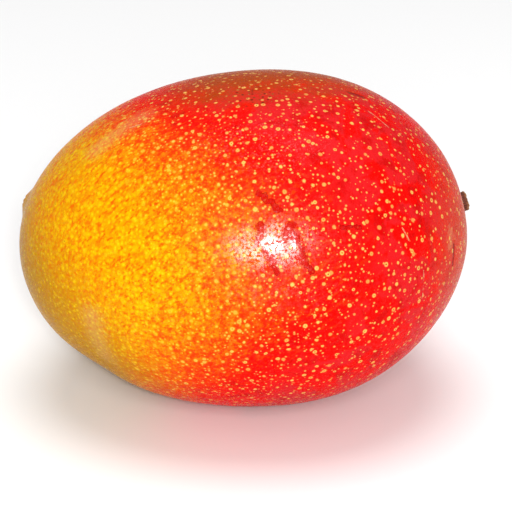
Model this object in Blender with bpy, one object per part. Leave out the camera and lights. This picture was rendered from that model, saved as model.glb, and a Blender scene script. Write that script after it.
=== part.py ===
"""A whole mango lying on its cheek, with the woody stub of its stalk.

The long axis runs along X: the blunt stem end faces +X and the tapered beak
end faces -X. The back of the fruit faces -Y, and the stem basin and the beak
both sit towards +Y. The fruit rests on a small flat spot at Z = 0, and the
origin is under the middle of the bounding box.
"""

import math

import bmesh
import bpy
from mathutils import Vector

# ---- driving dimensions, in metres ------------------------------------------

FRUIT_LENGTH = 0.1155
FRUIT_BREADTH = 0.0920
FRUIT_THICKNESS = 0.0840

# The stem end rides a little higher than the beak end.
STEM_END_LIFT = 0.0018

# The beak end is a little slimmer, as a share of the local half width.
BEAK_END_TAPER = 0.028

# How far the stem pole and the beak pole lean off the long axis (Y, Z).
STEM_LEAN = (0.200, 0.100)
BEAK_LEAN = (0.225, 0.190)

# Fuller shoulder round the stem end, as a share of the local half width.
SHOULDER_SWELL = 0.0646
SHOULDER_PLACE = 0.680
SHOULDER_SPREAD = 0.540

# Basin round the stalk.
BASIN_DEPTH = 0.0026
BASIN_RADIUS = 0.0080

# Beak: the small nub left by the flower, and the shallow sinus beyond it.
BEAK_HEIGHT = 0.0022
BEAK_RADIUS = 0.0046
SINUS_DEPTH = 0.0012
SINUS_RADIUS = 0.0085
SINUS_OFFSET = (0.0110, 0.0035)

# Soft crosswise valley low on the back of the beak end.
VALLEY_DEPTH = 0.0009
VALLEY_PLACE = -0.0375
VALLEY_WIDTH = 0.0075
VALLEY_TURN = math.radians(225.0)
VALLEY_REACH = math.radians(34.0)

# Flat spot pressed by the fruit's own weight.
REST_FLAT_DEPTH = 0.0006

# Stalk stub.
STUB_BASE_RADIUS = 0.0029
STUB_NECK_RADIUS = 0.0023
STUB_TIP_RADIUS = 0.0025
STUB_HEIGHT = 0.0044
STUB_GAP = 0.00050
STUB_EDGE = 0.0005

# Mesh fineness.
RINGS = 48
SPOKES = 64
POLE_CROWDING = 0.20
STUB_SPOKES = 24


def falloff(distance, radius):
    """Bell-shaped falloff: 1 at the middle, about a third at one radius."""
    return math.exp(-(distance / radius) ** 2)


def lean_direction(along, turn):
    """Unit direction of a skin point; the poles lean to the stem and the beak."""
    level = math.cos(along)
    lean = STEM_LEAN if level > 0.0 else BEAK_LEAN
    pull = level * level
    direction = Vector((
        level,
        math.sin(along) * math.cos(turn) + lean[0] * pull,
        math.sin(along) * math.sin(turn) + lean[1] * pull,
    ))
    return direction.normalized()


def plain_skin(direction):
    """Ovoid skin without its basin, beak and valley."""
    shoulder = SHOULDER_SWELL * falloff(direction.x - SHOULDER_PLACE, SHOULDER_SPREAD)
    taper = BEAK_END_TAPER * min(direction.x, 0.0) ** 2
    girth = (1.0 + shoulder) * (1.0 - taper)
    return Vector((
        direction.x * FRUIT_LENGTH / 2.0,
        direction.y * FRUIT_BREADTH / 2.0 * girth,
        direction.z * FRUIT_THICKNESS / 2.0 * girth + direction.x * STEM_END_LIFT,
    ))


def outward(direction):
    """Outward direction of the plain ovoid at a unit direction."""
    return Vector((
        direction.x / FRUIT_LENGTH,
        direction.y / FRUIT_BREADTH,
        direction.z / FRUIT_THICKNESS,
    )).normalized()


STEM_DIRECTION = lean_direction(0.0, 0.0)
BEAK_DIRECTION = lean_direction(math.pi, 0.0)
STEM_AXIS = outward(STEM_DIRECTION)
BEAK_AXIS = outward(BEAK_DIRECTION)
STEM_PLACE = plain_skin(STEM_DIRECTION)
BEAK_PLACE = plain_skin(BEAK_DIRECTION)
SINUS_PLACE = BEAK_PLACE + Vector((0.0, SINUS_OFFSET[0], SINUS_OFFSET[1]))


def skin_point(along, turn):
    """Point of the finished skin at an angle from the stem pole and a turn round X."""
    direction = lean_direction(along, turn)
    point = plain_skin(direction)
    normal = outward(direction)
    shift = Vector((0.0, 0.0, 0.0))
    if direction.x > 0.0:
        from_stem = point - STEM_PLACE
        from_stem -= STEM_AXIS * from_stem.dot(STEM_AXIS)
        shift -= STEM_AXIS * (BASIN_DEPTH * falloff(from_stem.length, BASIN_RADIUS))
    else:
        from_beak = point - BEAK_PLACE
        from_beak -= BEAK_AXIS * from_beak.dot(BEAK_AXIS)
        shift += BEAK_AXIS * (BEAK_HEIGHT * falloff(from_beak.length, BEAK_RADIUS))
        from_sinus = point - SINUS_PLACE
        from_sinus -= BEAK_AXIS * from_sinus.dot(BEAK_AXIS)
        shift -= normal * (SINUS_DEPTH * falloff(from_sinus.length, SINUS_RADIUS))
        side = math.atan2(direction.z, direction.y) % (2.0 * math.pi)
        reach = falloff(side - VALLEY_TURN, VALLEY_REACH)
        across = falloff(point.x - VALLEY_PLACE, VALLEY_WIDTH)
        shift -= normal * (VALLEY_DEPTH * reach * across)
    return point + shift


def ring_angle(index):
    """Angle of a ring from the stem pole; rings crowd towards both poles."""
    share = index / RINGS
    return math.pi * share - POLE_CROWDING * math.sin(2.0 * math.pi * share)


def make_material(name, colour, roughness):
    """Plain Principled material."""
    material = bpy.data.materials.new(name)
    material.use_nodes = True
    shader = material.node_tree.nodes["Principled BSDF"]
    shader.inputs["Base Color"].default_value = (*colour, 1.0)
    shader.inputs["Roughness"].default_value = roughness
    shader.inputs["Metallic"].default_value = 0.0
    material.diffuse_color = (*colour, 1.0)
    return material


def lathe_between(bm, rows):
    """Skin a closed body between two end points and the rings between them."""
    first = bm.verts.new(rows[0])
    last = bm.verts.new(rows[-1])
    rings = [[bm.verts.new(point) for point in row] for row in rows[1:-1]]
    count = len(rings[0])
    for spoke in range(count):
        after = (spoke + 1) % count
        bm.faces.new((first, rings[0][spoke], rings[0][after]))
        for upper, lower in zip(rings, rings[1:]):
            bm.faces.new((upper[spoke], lower[spoke], lower[after], upper[after]))
        bm.faces.new((rings[-1][spoke], last, rings[-1][after]))


def finish_object(name, bm, material):
    """Turn the mesh into a smooth-shaded named object."""
    bmesh.ops.recalc_face_normals(bm, faces=bm.faces)
    mesh = bpy.data.meshes.new(name)
    bm.to_mesh(mesh)
    bm.free()
    mesh.materials.append(material)
    for polygon in mesh.polygons:
        polygon.use_smooth = True
    made = bpy.data.objects.new(name, mesh)
    bpy.context.scene.collection.objects.link(made)
    return made


def build_fruit():
    """The fruit as one closed skin with a flat spot under it."""
    bm = bmesh.new()
    rows = [skin_point(0.0, 0.0)]
    for ring in range(1, RINGS):
        along = ring_angle(ring)
        rows.append([skin_point(along, 2.0 * math.pi * spoke / SPOKES) for spoke in range(SPOKES)])
    rows.append(skin_point(math.pi, 0.0))
    lathe_between(bm, rows)
    floor = min(vertex.co.z for vertex in bm.verts) + REST_FLAT_DEPTH
    everything = bm.verts[:] + bm.edges[:] + bm.faces[:]
    cut = bmesh.ops.bisect_plane(
        bm,
        geom=everything,
        dist=1e-6,
        plane_co=(0.0, 0.0, floor),
        plane_no=(0.0, 0.0, -1.0),
        clear_outer=True,
    )
    rim = [item for item in cut["geom_cut"] if isinstance(item, bmesh.types.BMEdge)]
    bmesh.ops.contextual_create(bm, geom=rim)
    return finish_object("fruit", bm, make_material("ripe_skin", (0.830, 0.190, 0.020), 0.34))


def build_stub():
    """The short woody stub that stands in the basin."""
    foot = skin_point(0.0, 0.0) + STEM_AXIS * STUB_GAP
    across = STEM_AXIS.cross(Vector((0.0, 0.0, 1.0))).normalized()
    upward = across.cross(STEM_AXIS).normalized()
    profile = [
        (0.0, STUB_BASE_RADIUS - STUB_EDGE),
        (STUB_EDGE, STUB_BASE_RADIUS),
        (STUB_HEIGHT * 0.28, STUB_BASE_RADIUS * 0.96),
        (STUB_HEIGHT * 0.55, STUB_NECK_RADIUS),
        (STUB_HEIGHT * 0.80, STUB_NECK_RADIUS),
        (STUB_HEIGHT - STUB_EDGE, STUB_TIP_RADIUS),
        (STUB_HEIGHT, STUB_TIP_RADIUS - STUB_EDGE),
    ]
    rows = [foot]
    for height, radius in profile:
        row = []
        for spoke in range(STUB_SPOKES):
            turn = 2.0 * math.pi * spoke / STUB_SPOKES
            side = across * math.cos(turn) + upward * math.sin(turn)
            row.append(foot + STEM_AXIS * height + side * radius)
        rows.append(row)
    rows.append(foot + STEM_AXIS * STUB_HEIGHT)
    bm = bmesh.new()
    lathe_between(bm, rows)
    return finish_object("stem_stub", bm, make_material("dry_stalk", (0.135, 0.060, 0.030), 0.82))


def settle(made):
    """Put the middle of the bounding box over the origin and the flat spot on Z = 0."""
    points = [vertex.co for item in made for vertex in item.data.vertices]
    low = Vector([min(point[axis] for point in points) for axis in range(3)])
    high = Vector([max(point[axis] for point in points) for axis in range(3)])
    shift = Vector((-(low.x + high.x) / 2.0, -(low.y + high.y) / 2.0, -low.z))
    for item in made:
        for vertex in item.data.vertices:
            vertex.co += shift
        item.data.update()


for old in list(bpy.data.objects):
    bpy.data.objects.remove(old, do_unlink=True)

settle([build_fruit(), build_stub()])
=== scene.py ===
import math

import bmesh
import bpy
import numpy as np
from bpy.props import FloatProperty, FloatVectorProperty, PointerProperty
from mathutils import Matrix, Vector, noise


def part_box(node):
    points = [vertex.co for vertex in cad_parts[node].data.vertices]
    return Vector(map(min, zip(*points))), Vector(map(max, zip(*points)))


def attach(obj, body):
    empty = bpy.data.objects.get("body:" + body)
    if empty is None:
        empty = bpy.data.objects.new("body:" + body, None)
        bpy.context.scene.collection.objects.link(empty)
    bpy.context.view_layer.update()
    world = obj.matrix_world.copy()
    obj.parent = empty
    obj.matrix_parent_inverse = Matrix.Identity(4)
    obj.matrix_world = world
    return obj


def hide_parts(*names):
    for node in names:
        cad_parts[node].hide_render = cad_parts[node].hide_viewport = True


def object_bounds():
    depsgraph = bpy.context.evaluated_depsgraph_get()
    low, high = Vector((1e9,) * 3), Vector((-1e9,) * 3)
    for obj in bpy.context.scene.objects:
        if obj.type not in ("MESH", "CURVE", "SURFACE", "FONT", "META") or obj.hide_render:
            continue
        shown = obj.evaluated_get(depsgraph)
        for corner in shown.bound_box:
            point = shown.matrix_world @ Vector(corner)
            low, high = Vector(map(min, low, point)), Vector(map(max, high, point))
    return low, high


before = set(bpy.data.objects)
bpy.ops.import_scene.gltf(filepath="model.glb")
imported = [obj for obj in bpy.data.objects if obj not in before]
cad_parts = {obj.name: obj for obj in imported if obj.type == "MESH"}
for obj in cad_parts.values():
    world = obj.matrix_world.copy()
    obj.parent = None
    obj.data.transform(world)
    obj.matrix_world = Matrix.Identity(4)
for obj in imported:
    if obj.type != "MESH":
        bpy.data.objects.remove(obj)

bl_info = {
    "name": "Ripe Mango",
    "version": (1, 0, 0),
    "blender": (4, 5, 0),
    "location": "View3D > Sidebar > Mango",
    "description": "Builds a ripe mango with its stalk stub on a plain studio floor",
    "category": "Object",
}

CAD_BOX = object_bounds()
FRUIT_LOW, FRUIT_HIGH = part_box("fruit")
STUB_LOW, STUB_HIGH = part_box("stem_stub")
MM = 0.001

# The fruit's middle and half sizes in mm, and the radius of the round globe that its
# marks are set on.
MIDDLE = (FRUIT_HIGH + FRUIT_LOW) / 2.0 / MM
HALF_SIZE = (FRUIT_HIGH - FRUIT_LOW) / 2.0 / MM
GLOBE_RADIUS = (HALF_SIZE[1] + HALF_SIZE[2]) / 2.0

# ---- proportions of the fruit, in metres and shares --------------------------

FRUIT_LENGTH = 0.1155
FRUIT_BREADTH = 0.0920
FRUIT_THICKNESS = 0.0840
STEM_END_LIFT = 0.0018
BEAK_END_TAPER = 0.028
STEM_LEAN = (0.200, 0.100)
BEAK_LEAN = (0.225, 0.190)
SHOULDER_SWELL = 0.0646
SHOULDER_PLACE = 0.680
SHOULDER_SPREAD = 0.540
BASIN_DEPTH = 2.6 * MM
BASIN_RADIUS = 8.0 * MM
BEAK_HEIGHT = 2.2 * MM
BEAK_RADIUS = 4.6 * MM
SINUS_DEPTH = 1.2 * MM
SINUS_RADIUS = 8.5 * MM
SINUS_OFFSET = (11.0 * MM, 3.5 * MM)
VALLEY_DEPTH = 0.9 * MM
VALLEY_PLACE = -37.5 * MM
VALLEY_WIDTH = 7.5 * MM
VALLEY_TURN = math.radians(225.0)
VALLEY_REACH = math.radians(34.0)
REST_FLAT_DEPTH = 0.6 * MM

# ---- stalk stub, in mm -------------------------------------------------------

# Height above the stub's middle and radius of each ring, from the foot to the hollow of
# the torn end, and the height of the hollow's middle.
STUB_PROFILE = (
    (-2.35, 2.55), (-2.15, 3.00), (-1.75, 2.95), (-1.30, 2.70), (-0.80, 2.42), (-0.30, 2.28),
    (0.20, 2.24), (0.70, 2.26), (1.15, 2.36), (1.55, 2.46), (1.80, 2.34), (1.88, 2.05),
    (1.70, 1.70), (1.45, 1.25), (1.40, 0.75), (1.55, 0.35),
)
STUB_FOOT = STUB_PROFILE[0][0]
STUB_TIP = 1.60

# ---- fineness of the meshes --------------------------------------------------

SKIN_RINGS = 300
SKIN_SPOKES = 290
POLE_CROWDING = 0.10
FRONT_CROWDING = 0.42
FRONT_TURN = math.radians(192.0)
STUB_SPOKES = 72

# ---- wet runs, healed marks and painted reflections on the skin --------------

# Each mark has a start spot, an end spot and a half width in mm. A spot is a share of the
# half length, towards the stem, and a turn round the long axis in degrees: 90 is the
# crown and 180 the back of the fruit.

WET_RUNS = (
    ((0.08, 140), (0.15, 145), 0.60),
    ((0.08, 150), (0.07, 155), 0.80),
    ((0.08, 155), (0.15, 165), 0.50),
    ((0.17, 155), (0.20, 150), 0.60),
    ((0.20, 150), (0.25, 160), 0.60),
    ((0.25, 160), (0.28, 165), 0.45),
    ((0.40, 150), (0.47, 150), 0.45),
)
PALE_SCRATCHES = (
    ((0.65, 150), (0.68, 155), 0.15),
    ((0.75, 170), (0.75, 185), 0.15),
    ((0.52, 100), (0.60, 105), 0.15),
    ((-0.50, 105), (-0.45, 105), 0.20),
)
DARK_SCABS = (
    ((0.90, 160), (0.90, 175), 0.40),
    ((0.45, 90), (0.50, 90), 0.65),
    ((0.70, 75), (0.72, 75), 0.40),
)
# Painted reflections: pale tan patches that stand for the studio's light on the skin.
TAN_REFLECTIONS = (
    ((0.88, 150), (0.88, 160), 1.10),
    ((-0.65, 190), (-0.60, 215), 2.40),
    ((-0.65, 110), (-0.45, 100), 2.60),
)
FRECKLE_PLACE = (0.05, 100)
FRECKLE_SPREAD = 7.0

# Damp patch round the wet runs; its spread is in mm.
DAMP_PLACE = (0.13, 155)
DAMP_SPREAD = 20.0

# Thickness of the water in the wet runs, in mm.
WATER_DEPTH = 0.12

# ---- where each colour lies, in mm -------------------------------------------

# The blush's edge is a bow across the fruit, seen along a tilted upright: the height of
# the bow's middle and its curve. Clouds of a density and a reach break the edge up.
BLUSH_UPRIGHT = (0.0, 0.423, 0.906)
BOW_MIDDLE = 31.0
BOW_CURVE = 0.0255
BLUSH_CLOUDS = ((0.030, 12.0), (0.11, 12.0), (0.42, 8.0))

# Direction in which the orange flecks and streaks are drawn out.
FLECK_RUN = (0.80, 0.25, 0.545)
FLECK_STRETCH = 0.62

# The ochre is painted shade, with some of the skin's duller tone: it fades out from the low beak
# end.
OCHRE_SHADE_FULL, OCHRE_SHADE_END = -16.0, 18.0

# The crown's brown is partly the skin's olive tone and partly painted shade along the top edge: it
# begins and is full at two heights along its own upright, which tilts like the camera's. It fades
# in along the fruit between the two places of its reach.
CROWN_SHADE_UPRIGHT = (-0.10, 0.423, 0.906)
CROWN_SHADE_START, CROWN_SHADE_FULL = 67.0, 79.0
CROWN_SHADE_REACH = (-30.0, -6.0)

# The painted orange reflection round the stem end begins and is full at two places along the
# fruit.
STEM_END_REFLECTION_START, STEM_END_REFLECTION_FULL = 42.0, 60.0

# ---- colours that the settings don't hold ------------------------------------

GOLD = (0.740, 0.400, 0.0015)
CELL_AMBER = (0.690, 0.260, 0.0010)
FLECK_ORANGE = (0.660, 0.090, 0.0010)
GROUND_ORANGE = (0.750, 0.180, 0.005)
GROUND_RED = (0.740, 0.045, 0.005)
FIRST_BLUSH = (0.730, 0.170, 0.0025)
STREAK_ORANGE = (0.740, 0.140, 0.0030)
CLOUD_RED = (0.500, 0.0040, 0.0030)
OCHRE_PAINTED_SHADE = (0.430, 0.210, 0.001)
CROWN_BROWN_AND_SHADE = (0.370, 0.072, 0.004)
STEM_END_REFLECTION_ORANGE = (0.640, 0.105, 0.030)
RING_ON_YELLOW = (0.800, 0.560, 0.010)
PORE_HEART = (0.600, 0.090, 0.006)
PORE_BROWN = (0.100, 0.030, 0.006)
FRECKLE_BROWN = (0.120, 0.022, 0.005)
REFLECTION_TAN = (0.620, 0.430, 0.200)
SCRATCH_BUFF = (0.700, 0.400, 0.220)
SCAB_MAROON = (0.280, 0.006, 0.004)
WET_RED = (0.470, 0.0040, 0.0025)
BARK_SHADOW = (0.055, 0.020, 0.012)
BARK_RED = (0.26, 0.060, 0.030)

# ---- studio, in metres unless it says mm -------------------------------------

FLOOR_HALF_SIZE = 3.0
SENSOR_WIDTH_MM = 36.0
AIM_RIGHT_MM = 2.6
AIM_DOWN_MM = 5.1
KEY_DISTANCE = 0.75
KEY_RIGHT = 0.052
KEY_UP = 0.012
SPARK_LEFT = 0.004
TOP_PLACE = (0.0, 0.15, 1.25)


# ---- settings ----------------------------------------------------------------


class SkinSettings(bpy.types.PropertyGroup):
    """Sizes and colours of the mango's skin."""

    yellow: FloatVectorProperty(
        name="Ripe yellow",
        description="Colour of the beak end, where the sun reached the skin least",
        subtype="COLOR",
        size=3,
        min=0.0,
        max=1.0,
        default=(0.750, 0.450, 0.0015),
    )
    orange: FloatVectorProperty(
        name="Turning orange",
        description="Colour of the blush where it begins",
        subtype="COLOR",
        size=3,
        min=0.0,
        max=1.0,
        default=(0.740, 0.060, 0.0030),
    )
    red: FloatVectorProperty(
        name="Blush red",
        description="Colour of the full blush at the stem end",
        subtype="COLOR",
        size=3,
        min=0.0,
        max=1.0,
        default=(0.740, 0.0050, 0.0030),
    )
    crimson: FloatVectorProperty(
        name="Bloom crimson",
        description="Colour of the dull patches where wax lies on the blush",
        subtype="COLOR",
        size=3,
        min=0.0,
        max=1.0,
        default=(0.600, 0.022, 0.027),
    )
    pale: FloatVectorProperty(
        name="Lenticel yellow",
        description="Colour of the pale rings round the breathing pores",
        subtype="COLOR",
        size=3,
        min=0.0,
        max=1.0,
        default=(0.800, 0.500, 0.130),
    )
    lenticel_spacing: FloatProperty(
        name="Lenticel spacing",
        description="Usual distance between two large breathing pores",
        unit="LENGTH",
        min=0.5 * MM,
        max=10.0 * MM,
        default=2.9 * MM,
    )
    blush_start: FloatProperty(
        name="Blush start",
        description="Place along the fruit where the blush begins",
        unit="LENGTH",
        min=-60.0 * MM,
        max=60.0 * MM,
        default=-31.0 * MM,
    )
    blush_full: FloatProperty(
        name="Blush full",
        description="Place along the fruit where the blush is complete",
        unit="LENGTH",
        min=-60.0 * MM,
        max=60.0 * MM,
        default=25.0 * MM,
    )
    gloss: FloatProperty(
        name="Wax roughness",
        description="Roughness of the waxy skin between the wet runs",
        subtype="FACTOR",
        min=0.05,
        max=1.0,
        default=0.25,
    )


class StalkSettings(bpy.types.PropertyGroup):
    """Sizes and colours of the stalk stub."""

    bark: FloatVectorProperty(
        name="Stalk brown",
        description="Colour of the dry stalk's side",
        subtype="COLOR",
        size=3,
        min=0.0,
        max=1.0,
        default=(0.150, 0.048, 0.022),
    )
    fibre: FloatVectorProperty(
        name="Fibre tan",
        description="Colour of the torn fibres at the stalk's end",
        subtype="COLOR",
        size=3,
        min=0.0,
        max=1.0,
        default=(0.420, 0.230, 0.095),
    )
    ridge_depth: FloatProperty(
        name="Ridge depth",
        description="Depth of the grooves along the stalk",
        unit="LENGTH",
        min=0.0,
        max=1.0 * MM,
        default=0.16 * MM,
    )


class StageSettings(bpy.types.PropertyGroup):
    """Camera, lamps and floor."""

    elevation: FloatProperty(
        name="Camera elevation",
        description="Angle of the camera above the floor",
        subtype="ANGLE",
        min=0.0,
        max=math.radians(90.0),
        default=math.radians(25.0),
    )
    distance: FloatProperty(
        name="Camera distance",
        description="Distance from the camera to the middle of the fruit",
        unit="LENGTH",
        min=0.1,
        max=5.0,
        default=0.550,
    )
    lens: FloatProperty(
        name="Lens",
        description="Focal length of the lens",
        unit="CAMERA",
        min=10.0,
        max=500.0,
        default=149.7,
    )
    floor_colour: FloatVectorProperty(
        name="Floor colour",
        description="Colour of the plain studio floor",
        subtype="COLOR",
        size=3,
        min=0.0,
        max=1.0,
        default=(0.90, 0.90, 0.90),
    )


# ---- shape of the fruit ------------------------------------------------------


def falloff(distance, radius):
    """Bell-shaped falloff: 1 at the middle, about a third at one radius."""
    return np.exp(-((distance / radius) ** 2))


def unit(vectors):
    """Vectors of length one."""
    return vectors / np.linalg.norm(vectors, axis=-1, keepdims=True)


def lean_direction(along, turn):
    """Unit directions of skin points; the poles lean to the stem and the beak."""
    level = np.cos(along)
    stem_side = level > 0.0
    lean_y = np.where(stem_side, STEM_LEAN[0], BEAK_LEAN[0])
    lean_z = np.where(stem_side, STEM_LEAN[1], BEAK_LEAN[1])
    pull = level * level
    return unit(np.stack((
        level,
        np.sin(along) * np.cos(turn) + lean_y * pull,
        np.sin(along) * np.sin(turn) + lean_z * pull,
    ), axis=-1))


def plain_skin(direction):
    """Ovoid skin without its basin, beak and valley."""
    level = direction[..., 0]
    shoulder = SHOULDER_SWELL * falloff(level - SHOULDER_PLACE, SHOULDER_SPREAD)
    taper = BEAK_END_TAPER * np.minimum(level, 0.0) ** 2
    girth = (1.0 + shoulder) * (1.0 - taper)
    return np.stack((
        level * FRUIT_LENGTH / 2.0,
        direction[..., 1] * FRUIT_BREADTH / 2.0 * girth,
        direction[..., 2] * FRUIT_THICKNESS / 2.0 * girth + level * STEM_END_LIFT,
    ), axis=-1)


def outward(direction):
    """Outward directions of the plain ovoid."""
    return unit(direction / np.array((FRUIT_LENGTH, FRUIT_BREADTH, FRUIT_THICKNESS)))


def beside(point, place, axis):
    """Part of the way from a place to a point that runs across an axis."""
    away = point - place
    return away - (away @ axis)[..., None] * axis


STEM_DIRECTION = lean_direction(np.array(0.0), np.array(0.0))
BEAK_DIRECTION = lean_direction(np.array(math.pi), np.array(0.0))
STEM_AXIS = outward(STEM_DIRECTION)
BEAK_AXIS = outward(BEAK_DIRECTION)
STEM_PLACE = plain_skin(STEM_DIRECTION)
BEAK_PLACE = plain_skin(BEAK_DIRECTION)
SINUS_PLACE = BEAK_PLACE + np.array((0.0, *SINUS_OFFSET))


def grown_skin(along, turn):
    """Skin points with the basin, the beak, the sinus and the valley, and their normals."""
    direction = lean_direction(along, turn)
    point = plain_skin(direction)
    normal = outward(direction)
    stem_side = (direction[..., 0] > 0.0)[..., None]
    from_stem = np.linalg.norm(beside(point, STEM_PLACE, STEM_AXIS), axis=-1)
    basin = -STEM_AXIS * (BASIN_DEPTH * falloff(from_stem, BASIN_RADIUS))[..., None]
    from_beak = np.linalg.norm(beside(point, BEAK_PLACE, BEAK_AXIS), axis=-1)
    beak = BEAK_AXIS * (BEAK_HEIGHT * falloff(from_beak, BEAK_RADIUS))[..., None]
    from_sinus = np.linalg.norm(beside(point, SINUS_PLACE, BEAK_AXIS), axis=-1)
    side = np.arctan2(direction[..., 2], direction[..., 1]) % (2.0 * math.pi)
    hollow = SINUS_DEPTH * falloff(from_sinus, SINUS_RADIUS)
    hollow += (
        VALLEY_DEPTH
        * falloff(side - VALLEY_TURN, VALLEY_REACH)
        * falloff(point[..., 0] - VALLEY_PLACE, VALLEY_WIDTH)
    )
    beak_end = beak - normal * hollow[..., None]
    return point + np.where(stem_side, basin, beak_end), normal


def noise_at(points, scale, seed):
    """Smooth noise, about -1 to 1, at each point; scale is the size of its features."""
    shift = Vector((seed * 13.7, seed * 7.1, seed * 3.3))
    flat = points.reshape(-1, 3)
    values = [noise.noise(Vector(point) / scale + shift) for point in flat]
    return np.array(values).reshape(points.shape[:-1])


def on_globe(spot):
    """Place of a spot on the fruit drawn as a round globe, in mm."""
    share, turn = spot[0], math.radians(spot[1])
    girth = math.sqrt(1.0 - share * share)
    return tuple(
        GLOBE_RADIUS * part for part in (share, girth * math.cos(turn), girth * math.sin(turn))
    )


def run_cover(points):
    """How much of a wet run covers each point, from 0 to 1. Points are in metres."""
    away = (points / MM - np.array(MIDDLE)) / np.array(HALF_SIZE)
    around = GLOBE_RADIUS * away / np.linalg.norm(away, axis=-1, keepdims=True)
    cover = np.zeros(points.shape[:-1])
    for start, end, half_width in WET_RUNS:
        start = np.array(on_globe(start))
        way = np.array(on_globe(end)) - start
        share = np.clip(((around - start) @ way) / (way @ way), 0.0, 1.0)
        nearest = start + share[..., None] * way
        distance = np.linalg.norm(around - nearest, axis=-1)
        cover = np.maximum(cover, falloff(distance, half_width * 1.4))
    return cover


def place_in_box(point, low, high):
    """Stretch and shift points so that they span the solid's box, flat spot and all."""
    least = point.reshape(-1, 3).min(axis=0)
    most = point.reshape(-1, 3).max(axis=0)
    least[2] += REST_FLAT_DEPTH
    low, high = np.array(low), np.array(high)
    placed = low + (point - least) / (most - least) * (high - low)
    placed[..., 2] = np.maximum(placed[..., 2], low[2])
    return placed


def skin_points():
    """Grid of finished skin points, ring by ring from the stem pole to the beak pole."""
    share = np.linspace(0.0, 1.0, SKIN_RINGS + 1)
    along = math.pi * share - POLE_CROWDING * np.sin(2.0 * math.pi * share)
    spoke = np.linspace(0.0, 2.0 * math.pi, SKIN_SPOKES, endpoint=False)
    turn = spoke - FRONT_CROWDING * np.sin(spoke - FRONT_TURN)
    along, turn = np.meshgrid(along, turn, indexing="ij")
    point, normal = grown_skin(along, turn)

    # Folds that run into the basin, and the collar that the stalk left.
    away = beside(point, STEM_PLACE, STEM_AXIS)
    from_stem = np.linalg.norm(away, axis=-1)
    bearing = np.arctan2(away[..., 2], away[..., 1])
    near_stem = (along < math.pi / 2.0) * 1.0
    folds = np.cos(5.0 * bearing + 0.7) + 0.6 * np.cos(8.0 * bearing + 2.1)
    relief = near_stem * 0.17 * folds * falloff(from_stem - 5.2 * MM, 2.6 * MM)
    relief += near_stem * 0.30 * falloff(from_stem - 4.0 * MM, 0.7 * MM)

    # The beak's dry scar: a pit with a puckered rim.
    away = beside(point, BEAK_PLACE, BEAK_AXIS)
    from_beak = np.linalg.norm(away, axis=-1)
    bearing = np.arctan2(away[..., 2], away[..., 1])
    near_beak = (along > math.pi / 2.0) * 1.0
    pucker = 0.10 * np.cos(7.0 * bearing) * falloff(from_beak - 1.5 * MM, 0.8 * MM)
    relief += near_beak * (pucker - 0.45 * falloff(from_beak, 0.8 * MM))

    # Broad undulation, shallow dents and pebbled wax.
    relief += 0.16 * noise_at(point, 26.0 * MM, 1)
    relief += 0.035 * noise_at(point, 5.0 * MM, 2)
    relief += 0.020 * noise_at(point, 1.9 * MM, 3)
    point = point + normal * (relief * MM)[..., None]
    return place_in_box(point, FRUIT_LOW, FRUIT_HIGH)


def ring_body(rows, low_point, high_point, name):
    """Closed mesh from rings of points and its two end points."""
    rings, spokes = rows.shape[0], rows.shape[1]
    vertices = np.concatenate((rows.reshape(-1, 3), (low_point,), (high_point,)))
    first, last = rings * spokes, rings * spokes + 1
    faces = []
    for spoke in range(spokes):
        after = (spoke + 1) % spokes
        faces.append((first, spoke, after))
        faces.append(((rings - 1) * spokes + after, (rings - 1) * spokes + spoke, last))
    for ring in range(rings - 1):
        here, there = ring * spokes, (ring + 1) * spokes
        for spoke in range(spokes):
            after = (spoke + 1) % spokes
            faces.append((here + spoke, there + spoke, there + after, here + after))
    mesh = bpy.data.meshes.new(name)
    mesh.from_pydata(vertices.tolist(), [], faces)
    mesh.update()
    bm = bmesh.new()
    bm.from_mesh(mesh)
    bmesh.ops.recalc_face_normals(bm, faces=bm.faces)
    bm.to_mesh(mesh)
    bm.free()
    mesh.shade_smooth()
    return mesh


def show(name, mesh, material):
    """Put a mesh in the scene under a name, with its material."""
    mesh.materials.append(material)
    made = bpy.data.objects.new(name, mesh)
    bpy.context.scene.collection.objects.link(made)
    return made


# ---- shader helpers ----------------------------------------------------------


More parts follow.
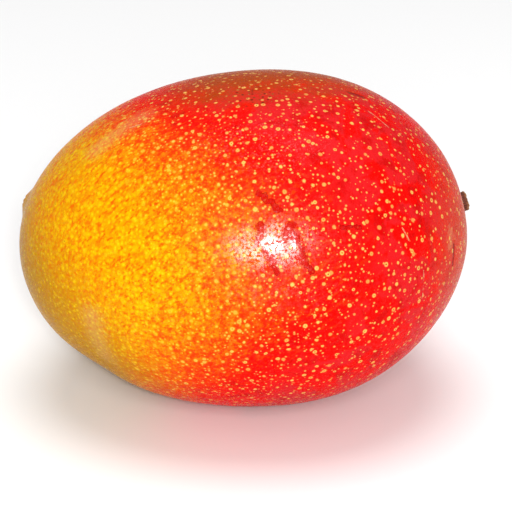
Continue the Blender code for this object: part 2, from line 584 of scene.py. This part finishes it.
class Weave:
    """Adds nodes to a tree and joins them with short calls."""

    def __init__(self, tree):
        self.tree = tree

    def set(self, socket, value):
        """Join a socket to another, or set its value."""
        if isinstance(value, bpy.types.NodeSocket):
            self.tree.links.new(value, socket)
        elif isinstance(value, (tuple, list)) and socket.type == "RGBA":
            socket.default_value = (*tuple(value)[:3], 1.0)
        else:
            socket.default_value = value

    def node(self, kind, **settings):
        """A new node with some of its settings."""
        made = self.tree.nodes.new(kind)
        for key, value in settings.items():
            setattr(made, key, value)
        return made

    def math(self, operation, first, second=0.0, third=0.0, clamp=False):
        """One Math node."""
        made = self.node("ShaderNodeMath", operation=operation, use_clamp=clamp)
        for socket, value in zip(made.inputs, (first, second, third)):
            self.set(socket, value)
        return made.outputs[0]

    def vector(self, operation, first, second=(0.0, 0.0, 0.0), scale=None, out=0):
        """One Vector Math node."""
        made = self.node("ShaderNodeVectorMath", operation=operation)
        self.set(made.inputs[0], first)
        self.set(made.inputs[1], second)
        if scale is not None:
            self.set(made.inputs["Scale"], scale)
        return made.outputs[out]

    def step(self, value, low, high, to_low=0.0, to_high=1.0):
        """Smooth step of a value from one range to another."""
        made = self.node("ShaderNodeMapRange", interpolation_type="SMOOTHSTEP")
        for key, item in zip(
            ("Value", "From Min", "From Max", "To Min", "To Max"),
            (value, low, high, to_low, to_high),
        ):
            self.set(made.inputs[key], item)
        return made.outputs["Result"]

    def mix(self, share, first, second):
        """Mix two colours, which a Mix node takes at sockets 6 and 7 and gives at 2."""
        made = self.node("ShaderNodeMix", data_type="RGBA", blend_type="MIX")
        self.set(made.inputs["Factor"], share)
        self.set(made.inputs[6], first)
        self.set(made.inputs[7], second)
        return made.outputs[2]

    def noise(self, vector, scale, detail=2.0, roughness=0.5, distortion=0.0):
        """Noise value between 0 and 1."""
        made = self.node("ShaderNodeTexNoise", noise_dimensions="3D")
        self.set(made.inputs["Vector"], vector)
        self.set(made.inputs["Scale"], scale)
        self.set(made.inputs["Detail"], detail)
        self.set(made.inputs["Roughness"], roughness)
        self.set(made.inputs["Distortion"], distortion)
        return made.outputs["Fac"]

    def cells(self, vector, scale):
        """Nearest cell's place and its random colour."""
        made = self.node("ShaderNodeTexVoronoi", voronoi_dimensions="3D", feature="F1")
        self.set(made.inputs["Vector"], vector)
        self.set(made.inputs["Scale"], scale)
        return made.outputs["Position"], made.outputs["Color"]

    def part(self, vector):
        """The three parts of a vector."""
        made = self.node("ShaderNodeSeparateXYZ")
        self.set(made.inputs[0], vector)
        return made.outputs[0], made.outputs[1], made.outputs[2]


def new_group(name, inputs, outputs):
    """An empty shader node group; returns its tree, weave, given and made sockets."""
    tree = bpy.data.node_groups.new(name, "ShaderNodeTree")
    for label, kind in inputs:
        tree.interface.new_socket(label, in_out="INPUT", socket_type=kind)
    for label, kind in outputs:
        tree.interface.new_socket(label, in_out="OUTPUT", socket_type=kind)
    weave = Weave(tree)
    entry = weave.node("NodeGroupInput")
    leave = weave.node("NodeGroupOutput")
    return tree, weave, entry.outputs, leave.inputs


def place_group(weave, tree, **values):
    """Place a group in a material and set its inputs by name."""
    made = weave.node("ShaderNodeGroup", node_tree=tree)
    for label, value in values.items():
        weave.set(made.inputs[label.replace("_", " ")], value)
    return made.outputs


def grain_group():
    """Fine broken grain: a height and a mask that both vary at a chosen size."""
    name = "fine_grain"
    if name in bpy.data.node_groups:
        return bpy.data.node_groups[name]
    tree, weave, given, made = new_group(
        name,
        (
            ("Place", "NodeSocketVector"),
            ("Density", "NodeSocketFloat"),
            ("Contrast", "NodeSocketFloat"),
        ),
        (("Height", "NodeSocketFloat"), ("Mask", "NodeSocketFloat")),
    )
    coarse = weave.noise(given["Place"], given["Density"], 3.0, 0.62)
    fine_density = weave.math("MULTIPLY", given["Density"], 2.7)
    fine = weave.noise(given["Place"], fine_density, 2.0, 0.5)
    height = weave.math(
        "ADD", weave.math("MULTIPLY", coarse, 0.7), weave.math("MULTIPLY", fine, 0.3)
    )
    centred = weave.math("SUBTRACT", height, 0.5)
    spread = weave.math("MULTIPLY_ADD", centred, given["Contrast"], 0.5, clamp=True)
    weave.set(made["Height"], height)
    weave.set(made["Mask"], spread)
    return tree


def streak_group():
    """A mark along a straight line between two places, wavering and soft at its edge."""
    name = "streak"
    if name in bpy.data.node_groups:
        return bpy.data.node_groups[name]
    tree, weave, given, made = new_group(
        name,
        (
            ("Place", "NodeSocketVector"),
            ("Start", "NodeSocketVector"),
            ("End", "NodeSocketVector"),
            ("Half Width", "NodeSocketFloat"),
            ("Softness", "NodeSocketFloat"),
            ("Waver", "NodeSocketFloat"),
        ),
        (("Mask", "NodeSocketFloat"),),
    )
    way = weave.vector("SUBTRACT", given["End"], given["Start"])
    away = weave.vector("SUBTRACT", given["Place"], given["Start"])
    share = weave.math(
        "DIVIDE",
        weave.vector("DOT_PRODUCT", away, way, out=1),
        weave.vector("DOT_PRODUCT", way, way, out=1),
        clamp=True,
    )
    nearest = weave.vector("SCALE", way, scale=share)
    distance = weave.vector("LENGTH", weave.vector("SUBTRACT", away, nearest), out=1)
    distance = weave.math("ADD", distance, given["Waver"])
    edge = weave.math("MULTIPLY", given["Half Width"], given["Softness"])
    outer = weave.math("ADD", given["Half Width"], edge)
    inner = weave.math("SUBTRACT", given["Half Width"], edge)
    weave.set(made["Mask"], weave.step(distance, inner, outer, 1.0, 0.0))
    return tree


def lenticel_group():
    """Breathing pores: tangential distance to the nearest one, in mm, and its random values."""
    name = "lenticels"
    if name in bpy.data.node_groups:
        return bpy.data.node_groups[name]
    tree, weave, given, made = new_group(
        name,
        (
            ("Place", "NodeSocketVector"),
            ("Surface", "NodeSocketVector"),
            ("Density", "NodeSocketFloat"),
            ("Depth Share", "NodeSocketFloat"),
            ("Least Size", "NodeSocketFloat"),
        ),
        (("Distance", "NodeSocketFloat"), ("Chance", "NodeSocketFloat")),
    )
    centre, colour = weave.cells(given["Place"], given["Density"])
    away = weave.vector("SUBTRACT", given["Place"], centre)
    depth = weave.vector("DOT_PRODUCT", away, given["Surface"], out=1)
    sunk = weave.vector("SCALE", given["Surface"], scale=depth)
    across = weave.vector("LENGTH", weave.vector("SUBTRACT", away, sunk), out=1)
    below = weave.math("MULTIPLY", depth, given["Depth Share"])
    squares = weave.math(
        "ADD", weave.math("MULTIPLY", across, across), weave.math("MULTIPLY", below, below)
    )
    distance = weave.math("SQRT", squares)
    chance, other, _ = weave.part(colour)
    greatest, least = 1.25, given["Least Size"]
    size = weave.math("MULTIPLY_ADD", other, weave.math("SUBTRACT", greatest, least), least)
    weave.set(made["Distance"], weave.math("DIVIDE", distance, size))
    weave.set(made["Chance"], chance)
    return tree


def start_material(name):
    """A new material with its weave, its shader and the place of each point in mm."""
    material = bpy.data.materials.new(name)
    material.use_nodes = True
    weave = Weave(material.node_tree)
    shader = material.node_tree.nodes["Principled BSDF"]
    coordinates = weave.node("ShaderNodeTexCoord")
    place = weave.vector("SCALE", coordinates.outputs["Object"], scale=1.0 / MM)
    return material, weave, shader, place


def globe(weave, place):
    """Each point of the skin carried to the round globe that the marks are set on."""
    away = weave.vector("SUBTRACT", place, tuple(MIDDLE))
    away = weave.vector("DIVIDE", away, tuple(HALF_SIZE))
    return weave.vector("SCALE", weave.vector("NORMALIZE", away), scale=GLOBE_RADIUS)


def streaks(weave, place, waver, marks, softness=0.35):
    """One mask that covers every mark in a list."""
    cover = None
    for start, end, half_width in marks:
        mask = place_group(
            weave,
            streak_group(),
            Place=place,
            Start=on_globe(start),
            End=on_globe(end),
            Half_Width=half_width,
            Softness=softness,
            Waver=waver,
        )["Mask"]
        cover = mask if cover is None else weave.math("MAXIMUM", cover, mask)
    return cover


def blush_value(weave, place, settings):
    """How far the skin has turned from yellow, 0, to full blush, 1, at each point."""
    x, _, _ = weave.part(place)
    height = weave.vector("DOT_PRODUCT", place, BLUSH_UPRIGHT, out=1)
    bow = weave.math("SUBTRACT", height, BOW_MIDDLE)
    lean = weave.math("MULTIPLY_ADD", weave.math("MULTIPLY", bow, bow), BOW_CURVE, x)
    for density, reach in BLUSH_CLOUDS:
        cloud = weave.math("SUBTRACT", weave.noise(place, density, 2.0, 0.55), 0.5)
        lean = weave.math("MULTIPLY_ADD", cloud, reach, lean)
    made = weave.node("ShaderNodeMapRange", interpolation_type="LINEAR", clamp=False)
    weave.set(made.inputs["Value"], lean)
    weave.set(made.inputs["From Min"], settings.blush_start / MM)
    weave.set(made.inputs["From Max"], settings.blush_full / MM)
    return made.outputs["Result"]


def skin_material(settings):
    """Waxy skin: yellow to red blush, pale lenticels, wet runs and healed marks."""
    material, weave, shader, place = start_material("ripe_skin")
    x, _, z = weave.part(place)
    surface = weave.node("ShaderNodeNewGeometry").outputs["Normal"]
    blush = blush_value(weave, place, settings)
    mottle = weave.noise(place, 0.50, 3.0, 0.65)
    fine = weave.noise(place, 1.3, 2.0, 0.6)

    # Large pores, each with a halo that the blush leaves free, and smaller ones between them.
    spacing = settings.lenticel_spacing / MM
    large = place_group(
        weave,
        lenticel_group(),
        Place=place,
        Surface=surface,
        Density=1.0 / spacing,
        Depth_Share=0.30,
        Least_Size=0.60,
    )
    small = place_group(
        weave,
        lenticel_group(),
        Place=place,
        Surface=surface,
        Density=2.15 / spacing,
        Depth_Share=0.45,
        Least_Size=0.50,
    )
    ragged = weave.math("SUBTRACT", fine, 0.5)
    near = weave.math("MULTIPLY_ADD", ragged, 0.30, large["Distance"])
    near_small = weave.math("MULTIPLY_ADD", ragged, 0.25, small["Distance"])

    # Pigment: a mottled blush that thickens towards the stem and spares the halos.
    depth = weave.math("MULTIPLY_ADD", blush, 1.00, 0.03)
    depth = weave.math("MULTIPLY_ADD", weave.math("SUBTRACT", mottle, 0.5), 1.7, depth)
    depth = weave.math("MULTIPLY_ADD", ragged, 1.3, depth)
    pigment = weave.step(depth, 0.22, 0.78)
    reach = weave.step(blush, 0.0, 1.0, 1.05, 0.54)
    inner = weave.math("SUBTRACT", reach, 0.30)
    outer = weave.math("ADD", reach, 0.22)
    halo = weave.step(near, inner, outer, 1.0, 0.0)
    halo_small = weave.step(near_small, 0.25, 0.75, 0.8, 0.0)
    halo_small = weave.math("MULTIPLY", halo_small, weave.step(blush, 0.35, 0.95, 1.0, 0.0))
    halo = weave.math("MAXIMUM", halo, halo_small)
    pigment = weave.math("MULTIPLY", pigment, weave.math("MULTIPLY_ADD", halo, -0.75, 1.0))

    # Ground colour under the pigment, and the pigment's own colour.
    cloud = weave.noise(place, 0.16, 3.0, 0.6)
    ground = weave.mix(weave.step(cloud, 0.30, 0.75), settings.yellow[:], GOLD)
    between = weave.step(near_small, 0.25, 0.95)
    between = weave.math(
        "MULTIPLY_ADD", weave.math("SUBTRACT", fine, 0.5), 1.8, between, clamp=True
    )
    ground = weave.mix(weave.math("MULTIPLY", between, 0.75), ground, CELL_AMBER)
    run = weave.vector("DOT_PRODUCT", place, FLECK_RUN, out=1)
    drawn = weave.vector("SCALE", FLECK_RUN, scale=weave.math("MULTIPLY", run, -FLECK_STRETCH))
    drawn = weave.vector("ADD", place, drawn)
    fleck = weave.step(weave.noise(drawn, 1.25, 2.0, 0.6), 0.51, 0.65)
    fleck = weave.math("MULTIPLY", fleck, weave.math("MULTIPLY_ADD", halo, -0.8, 1.0))
    fleck = weave.math("MULTIPLY", fleck, weave.step(blush, -0.55, 0.25, 0.35, 0.90))
    ground = weave.mix(fleck, ground, FLECK_ORANGE)
    ground = weave.mix(weave.step(blush, 0.10, 0.75), ground, GROUND_ORANGE)
    ground = weave.mix(weave.step(blush, 0.60, 1.05), ground, GROUND_RED)
    over = weave.mix(weave.step(blush, 0.0, 0.50), FIRST_BLUSH, settings.orange[:])
    over = weave.mix(weave.step(blush, 0.45, 0.95), over, settings.red[:])
    colour = weave.mix(pigment, ground, over)

    # Orange streaks that still break through the red.
    break_through = weave.step(weave.noise(drawn, 0.85, 3.0, 0.65), 0.50, 0.66)
    break_through = weave.math("MULTIPLY", break_through, weave.step(blush, 0.45, 1.25, 0.70, 0.0))
    colour = weave.mix(break_through, colour, STREAK_ORANGE)

    # Waxy bloom that turns patches of the red pinkish and dull.
    patch = weave.noise(place, 0.062, 4.0, 0.62, 0.5)
    patch = weave.math("MULTIPLY_ADD", weave.math("SUBTRACT", mottle, 0.5), 0.10, patch)
    bloom = weave.math("MULTIPLY", weave.step(patch, 0.47, 0.53), weave.step(blush, 0.95, 1.25))
    bloom = weave.math("MULTIPLY", bloom, weave.math("MULTIPLY_ADD", fine, 0.5, 0.50))
    colour = weave.mix(bloom, colour, settings.crimson[:])

    # Deeper red clouds.
    deep = weave.noise(place, 0.20, 4.0, 0.65, 0.4)
    deep = weave.step(deep, 0.50, 0.66)
    deep = weave.math("MULTIPLY", deep, weave.step(blush, 0.45, 0.95, 0.0, 0.75))
    colour = weave.mix(deep, colour, CLOUD_RED)

    # Painted shade: a darker ochre low on the beak end and towards its tip, with some of the
    # skin's duller tone there.
    low = weave.math("MULTIPLY_ADD", x, 0.90, z)
    low = weave.math("MULTIPLY_ADD", weave.math("SUBTRACT", cloud, 0.5), 8.0, low)
    low = weave.step(low, OCHRE_SHADE_FULL, OCHRE_SHADE_END, 0.85, 0.0)
    low = weave.math("MULTIPLY", low, weave.step(blush, 0.3, 0.9, 1.0, 0.0))
    colour = weave.mix(low, colour, OCHRE_PAINTED_SHADE)

    # Brown on the crown, partly the skin's olive tone and partly painted shade along the top edge,
    # and a painted orange reflection round the stem end.
    crown_shade = weave.vector("DOT_PRODUCT", place, CROWN_SHADE_UPRIGHT, out=1)
    crown_shade = weave.math("MULTIPLY_ADD", weave.math("SUBTRACT", cloud, 0.5), 9.0, crown_shade)
    crown_shade = weave.math("MULTIPLY_ADD", ragged, 8.0, crown_shade)
    crown_shade = weave.step(crown_shade, CROWN_SHADE_START, CROWN_SHADE_FULL, 0.0, 0.88)
    crown_shade = weave.math("MULTIPLY", crown_shade, weave.step(x, *CROWN_SHADE_REACH))
    colour = weave.mix(crown_shade, colour, CROWN_BROWN_AND_SHADE)
    # Painted reflection: orange tan round the stem end, standing for the sheen at its edge.
    stem_end_reflection = weave.math("MULTIPLY_ADD", weave.math("SUBTRACT", cloud, 0.5), 9.0, x)
    stem_end_reflection = weave.math("MULTIPLY_ADD", ragged, 6.0, stem_end_reflection)
    stem_end_reflection = weave.step(stem_end_reflection, STEM_END_REFLECTION_START, STEM_END_REFLECTION_FULL, 0.0, 0.70)
    colour = weave.mix(stem_end_reflection, colour, STEM_END_REFLECTION_ORANGE)

    # Pale ring, orange heart and dark pore of each lenticel.
    pale = weave.mix(weave.step(blush, 0.10, 0.95), RING_ON_YELLOW, settings.pale[:])
    ring = weave.step(near, 0.32, 0.60, 1.0, 0.0)
    ring = weave.math("MULTIPLY", ring, weave.step(blush, 0.05, 0.80, 0.45, 0.92))
    ring = weave.math("MULTIPLY", ring, weave.step(large["Chance"], 0.0, 1.0, 0.55, 1.0))
    colour = weave.mix(ring, colour, pale)
    heart = weave.step(large["Distance"], 0.10, 0.27, 1.0, 0.0)
    heart = weave.math("MULTIPLY", heart, weave.step(blush, 0.40, 0.90, 0.15, 0.85))
    heart = weave.math("MULTIPLY", heart, weave.step(large["Chance"], 0.15, 0.35, 0.0, 0.95))
    colour = weave.mix(heart, colour, PORE_HEART)
    pore = weave.step(large["Distance"], 0.05, 0.13, 1.0, 0.0)
    pore = weave.math("MULTIPLY", pore, weave.step(large["Chance"], 0.50, 0.56))
    colour = weave.mix(weave.math("MULTIPLY", pore, 0.75), colour, PORE_BROWN)
    dot = weave.step(near_small, 0.10, 0.36, 1.0, 0.0)
    shown = weave.math("ADD", small["Chance"], weave.step(blush, 0.80, 1.50, 0.45, 0.0))
    dot = weave.math("MULTIPLY", dot, weave.step(shown, 0.55, 0.65, 0.0, 0.72))
    colour = weave.mix(dot, colour, pale)

    # Dark freckles clustered on the crown.
    around = globe(weave, place)
    freckle = weave.vector("DISTANCE", around, on_globe(FRECKLE_PLACE), out=1)
    freckle = weave.step(freckle, FRECKLE_SPREAD * 0.4, FRECKLE_SPREAD, 0.90, 0.0)
    speck = weave.step(near_small, 0.12, 0.45, 1.0, 0.0)
    colour = weave.mix(weave.math("MULTIPLY", freckle, speck), colour, FRECKLE_BROWN)

    # Scratches, scabs, painted tan reflections, and the deeper colour under the wet runs.
    waver = weave.math("MULTIPLY", ragged, 0.55)
    scratch = streaks(weave, around, waver, PALE_SCRATCHES)
    scab = streaks(weave, around, waver, DARK_SCABS)
    painted_reflection = streaks(weave, around, weave.math("MULTIPLY", ragged, 6.0), TAN_REFLECTIONS, 0.98)
    wander = weave.math("SUBTRACT", weave.noise(place, 0.65, 2.0, 0.6), 0.52)
    wet = streaks(weave, around, weave.math("MULTIPLY", wander, 3.2), WET_RUNS)
    colour = weave.mix(weave.math("MULTIPLY", painted_reflection, 0.26), colour, REFLECTION_TAN)
    colour = weave.mix(weave.math("MULTIPLY", scratch, 0.60), colour, SCRATCH_BUFF)
    colour = weave.mix(weave.math("MULTIPLY", scab, 0.85), colour, SCAB_MAROON)
    colour = weave.mix(weave.math("MULTIPLY", wet, 0.85), colour, WET_RED)

    # Gloss: dull wax with small bright facets, slick where it is wet.
    grain = place_group(weave, grain_group(), Place=place, Density=1.1, Contrast=2.2)
    rough = weave.step(grain["Mask"], 0.0, 1.0, settings.gloss - 0.05, settings.gloss + 0.06)
    facet_noise = weave.noise(place, 1.6, 3.0, 0.65)
    facet = weave.step(facet_noise, 0.54, 0.62)
    rough = weave.math("MULTIPLY_ADD", facet, -0.07, rough)
    rough = weave.math("MULTIPLY_ADD", wet, -0.08, rough, clamp=True)
    shader.inputs["Specular IOR Level"].default_value = 0.035
    shader.inputs["Coat Roughness"].default_value = 0.20
    shader.inputs["Coat IOR"].default_value = 1.7
    damp = weave.vector("DISTANCE", around, on_globe(DAMP_PLACE), out=1)
    damp = weave.math("MULTIPLY_ADD", wander, 22.0, damp)
    damp = weave.step(damp, 3.0, DAMP_SPREAD, 1.0, 0.0)
    damp = weave.math("MULTIPLY", damp, weave.math("MULTIPLY_ADD", wet, -0.8, 1.0))
    damp = weave.math("MULTIPLY", damp, weave.step(facet_noise, 0.37, 0.58))
    glint = weave.step(weave.noise(place, 1.1, 2.0, 0.6), 0.54, 0.62, 0.10, 0.90)
    slick = weave.math("MAXIMUM", weave.math("MULTIPLY", wet, glint), damp)
    slick = weave.math("MAXIMUM", slick, weave.math("MULTIPLY", facet, 0.22))
    weave.set(shader.inputs["Coat Weight"], slick)
    weave.set(shader.inputs["Base Color"], colour)
    weave.set(shader.inputs["Roughness"], rough)

    # Relief: pebbled wax, a raised rim round each pore, thick water and sunken scabs.
    height = weave.math("MULTIPLY", grain["Height"], 2.5)
    height = weave.math("MULTIPLY_ADD", weave.math("MULTIPLY", wet, wander), 6.0, height)
    height = weave.math("ADD", height, weave.step(near, 0.25, 0.80, 0.40, 0.0))
    for mask, lift in ((pore, -0.4), (wet, 2.2), (scab, -1.0), (scratch, -0.5)):
        height = weave.math("MULTIPLY_ADD", mask, lift, height)
    bump = weave.node("ShaderNodeBump")
    bump.inputs["Distance"].default_value = 0.20 * MM
    bump.inputs["Strength"].default_value = 0.85
    weave.set(bump.inputs["Height"], height)
    weave.set(shader.inputs["Normal"], bump.outputs["Normal"])
    return material


def stalk_material(settings):
    """Dry woody stalk with tan fibres at its torn end."""
    material, weave, shader, place = start_material("dry_stalk")
    grain = place_group(weave, grain_group(), Place=place, Density=1.1, Contrast=3.0)
    middle = Vector((STUB_LOW + STUB_HIGH) / 2.0) / MM
    axis = Vector(STEM_AXIS.tolist())
    raised = weave.vector("SUBTRACT", place, tuple(middle))
    along = weave.vector("DOT_PRODUCT", raised, tuple(axis), out=1)
    across = weave.vector("SUBTRACT", place, weave.vector("SCALE", tuple(axis), scale=along))
    fibres = weave.noise(across, 2.4, 3.0, 0.6)
    colour = weave.mix(weave.step(fibres, 0.35, 0.70), settings.bark[:], BARK_SHADOW)
    colour = weave.mix(weave.math("MULTIPLY", grain["Mask"], 0.35), colour, BARK_RED)
    torn = weave.step(along, 1.1, 1.8)
    colour = weave.mix(weave.math("MULTIPLY", torn, grain["Mask"]), colour, settings.fibre[:])
    weave.set(shader.inputs["Base Color"], colour)
    weave.set(shader.inputs["Roughness"], weave.step(fibres, 0.2, 0.8, 0.68, 0.92))
    bump = weave.node("ShaderNodeBump")
    bump.inputs["Distance"].default_value = 0.20 * MM
    bump.inputs["Strength"].default_value = 0.8
    weave.set(bump.inputs["Height"], weave.math("ADD", fibres, grain["Height"]))
    weave.set(shader.inputs["Normal"], bump.outputs["Normal"])
    return material


# ---- operators ---------------------------------------------------------------


class MANGO_OT_fruit(bpy.types.Operator):
    """Build the fruit's skin over its solid"""

    bl_idname = "mango.fruit"
    bl_label = "Build fruit"

    def execute(self, context):
        point = skin_points()
        cover = run_cover(point)
        centre = np.array((0.0, 0.0, (FRUIT_LOW.z + FRUIT_HIGH.z) / 2.0))
        point = point + unit(point - centre) * (WATER_DEPTH * MM * cover)[..., None]
        mesh = ring_body(point[1:-1], point[0, 0], point[-1, 0], "mango_skin")
        fruit = show("mango_skin", mesh, skin_material(context.scene.mango_skin))
        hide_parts("fruit")
        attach(fruit, "root")
        return {"FINISHED"}


class MANGO_OT_stem_stub(bpy.types.Operator):
    """Build the woody stub of the stalk"""

    bl_idname = "mango.stem_stub"
    bl_label = "Build stalk stub"

    def execute(self, context):
        settings = context.scene.mango_stalk
        axis = STEM_AXIS
        across = unit(np.cross(axis, (0.0, 0.0, 1.0)))
        upward = np.cross(across, axis)
        middle = np.array((STUB_LOW + STUB_HIGH) / 2.0)
        turn = np.linspace(0.0, 2.0 * math.pi, STUB_SPOKES, endpoint=False)
        side = np.cos(turn)[:, None] * across + np.sin(turn)[:, None] * upward
        ridges = np.cos(9.0 * turn + 0.4) + 0.7 * np.cos(14.0 * turn + 1.9)
        rows = []
        for height, radius in STUB_PROFILE:
            torn = 0.16 * math.exp(-((height - 1.8) / 0.6) ** 2) * np.cos(3.0 * turn + 1.0)
            reach = radius * MM + settings.ridge_depth * ridges * min(radius / 2.4, 1.0)
            rows.append(middle + axis * (height + torn)[:, None] * MM + side * reach[:, None])
        rows = np.array(rows)
        rows += 0.07 * MM * noise_at(rows, 0.9 * MM, 5)[..., None] * unit(rows - middle)
        rows = np.minimum(rows, np.array(CAD_BOX[1]))
        foot = middle + axis * STUB_FOOT * MM
        tip = middle + axis * STUB_TIP * MM
        mesh = ring_body(rows, foot, tip, "mango_stalk_stub")
        stub = show("mango_stalk_stub", mesh, stalk_material(settings))
        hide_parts("stem_stub")
        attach(stub, "root")
        return {"FINISHED"}


def aim(thing, target):
    """Turn an object so that it looks at a place."""
    thing.rotation_euler = (Vector(target) - thing.location).to_track_quat("-Z", "Y").to_euler()


def lamp(name, place, target, size, power):
    """A soft round white lamp that shines at a place."""
    light = bpy.data.lights.new(name, "AREA")
    light.shape = "ELLIPSE"
    light.size = size
    light.size_y = size
    light.energy = power
    made = bpy.data.objects.new(name, light)
    made.location = place
    bpy.context.scene.collection.objects.link(made)
    aim(made, target)


class MANGO_OT_stage(bpy.types.Operator):
    """Build the floor, the lamps and the camera"""

    bl_idname = "mango.stage"
    bl_label = "Build stage"

    def execute(self, context):
        scene = context.scene
        settings = scene.mango_stage
        centre = Vector((0.0, 0.0, (FRUIT_LOW.z + FRUIT_HIGH.z) / 2.0))

        bm = bmesh.new()
        bmesh.ops.create_grid(bm, x_segments=4, y_segments=4, size=FLOOR_HALF_SIZE)
        mesh = bpy.data.meshes.new("floor")
        bm.to_mesh(mesh)
        bm.free()
        material = bpy.data.materials.new("floor_paint")
        material.use_nodes = True
        shader = material.node_tree.nodes["Principled BSDF"]
        shader.inputs["Base Color"].default_value = (*settings.floor_colour, 1.0)
        shader.inputs["Roughness"].default_value = 0.9
        floor = show("floor", mesh, material)

        tilt = settings.elevation
        ahead = Vector((0.0, math.cos(tilt), -math.sin(tilt)))
        above = Vector((0.0, math.sin(tilt), math.cos(tilt)))
        right = Vector((1.0, 0.0, 0.0))
        camera_data = bpy.data.cameras.new("camera")
        camera_data.lens = settings.lens
        camera_data.sensor_width = SENSOR_WIDTH_MM
        camera = bpy.data.objects.new("camera", camera_data)
        target = centre + right * AIM_RIGHT_MM * MM - above * AIM_DOWN_MM * MM
        camera.location = target - ahead * settings.distance
        scene.collection.objects.link(camera)
        aim(camera, target)
        scene.camera = camera

        # A broad key lamp, a small one for the glint of the water, and a lamp overhead.
        key_place = centre - ahead * KEY_DISTANCE + right * KEY_RIGHT + above * KEY_UP
        spark_place = key_place - right * SPARK_LEFT
        lamp("key_lamp", key_place, centre, size=0.38, power=2.60)
        lamp("spark_lamp", spark_place, centre, size=0.045, power=1.40)
        lamp("top_lamp", centre + Vector(TOP_PLACE), centre, size=0.9, power=8.0)

        world = bpy.data.worlds.new("studio_air")
        world.use_nodes = True
        background = world.node_tree.nodes["Background"]
        background.inputs["Color"].default_value = (1.0, 1.0, 1.0, 1.0)
        background.inputs["Strength"].default_value = 0.36
        scene.world = world
        scene.view_settings.view_transform = "Standard"
        scene.view_settings.look = "Medium High Contrast"
        return {"FINISHED"}


class MANGO_PT_panel(bpy.types.Panel):
    """Sidebar panel of the mango builder"""

    bl_idname = "MANGO_PT_panel"
    bl_label = "Ripe Mango"
    bl_space_type = "VIEW_3D"
    bl_region_type = "UI"
    bl_category = "Mango"

    def draw(self, context):
        scene = context.scene
        for title, group in (
            ("Skin", scene.mango_skin),
            ("Stalk", scene.mango_stalk),
            ("Stage", scene.mango_stage),
        ):
            box = self.layout.box()
            box.label(text=title)
            for key in group.__annotations__:
                box.prop(group, key)
        for operator in OPERATORS:
            self.layout.operator(operator.bl_idname)


OPERATORS = (MANGO_OT_fruit, MANGO_OT_stem_stub, MANGO_OT_stage)
CLASSES = (SkinSettings, StalkSettings, StageSettings, *OPERATORS, MANGO_PT_panel)


def register():
    for item in CLASSES:
        bpy.utils.register_class(item)
    bpy.types.Scene.mango_skin = PointerProperty(type=SkinSettings)
    bpy.types.Scene.mango_stalk = PointerProperty(type=StalkSettings)
    bpy.types.Scene.mango_stage = PointerProperty(type=StageSettings)


def unregister():
    del bpy.types.Scene.mango_stage
    del bpy.types.Scene.mango_stalk
    del bpy.types.Scene.mango_skin
    for item in reversed(CLASSES):
        bpy.utils.unregister_class(item)


def main():
    """Build every piece and the stage."""
    register()
    bpy.ops.mango.fruit()
    bpy.ops.mango.stem_stub()
    bpy.ops.mango.stage()


if __name__ == "__main__":
    main()
